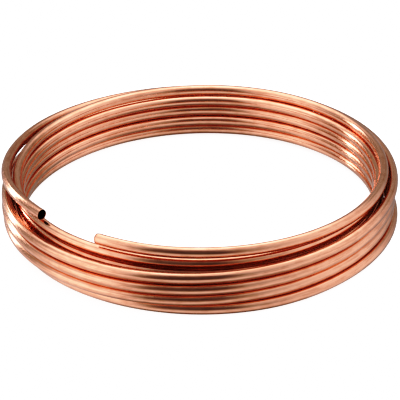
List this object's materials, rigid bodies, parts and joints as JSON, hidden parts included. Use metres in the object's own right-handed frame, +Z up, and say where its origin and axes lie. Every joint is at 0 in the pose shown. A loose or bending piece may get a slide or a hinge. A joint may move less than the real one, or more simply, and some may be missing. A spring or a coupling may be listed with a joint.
{
  "type": "copper tube coil",
  "caption": "Coil of soft-drawn bare copper tube lying flat, wound in two layers of turns, with both cut ends open.",
  "frame": {"origin": "middle of the coil's footprint, on the floor that it lies on", "axes": "+Z up through the eye of the coil, -Y towards the front, where the winding's turns are counted from"},
  "size_m": [0.3711, 0.3822, 0.0644],
  "materials": {
    "copper": "satin"
  },
  "bodies": {
    "root": {"copper_tube": "copper"}
  },
  "joints": []
}
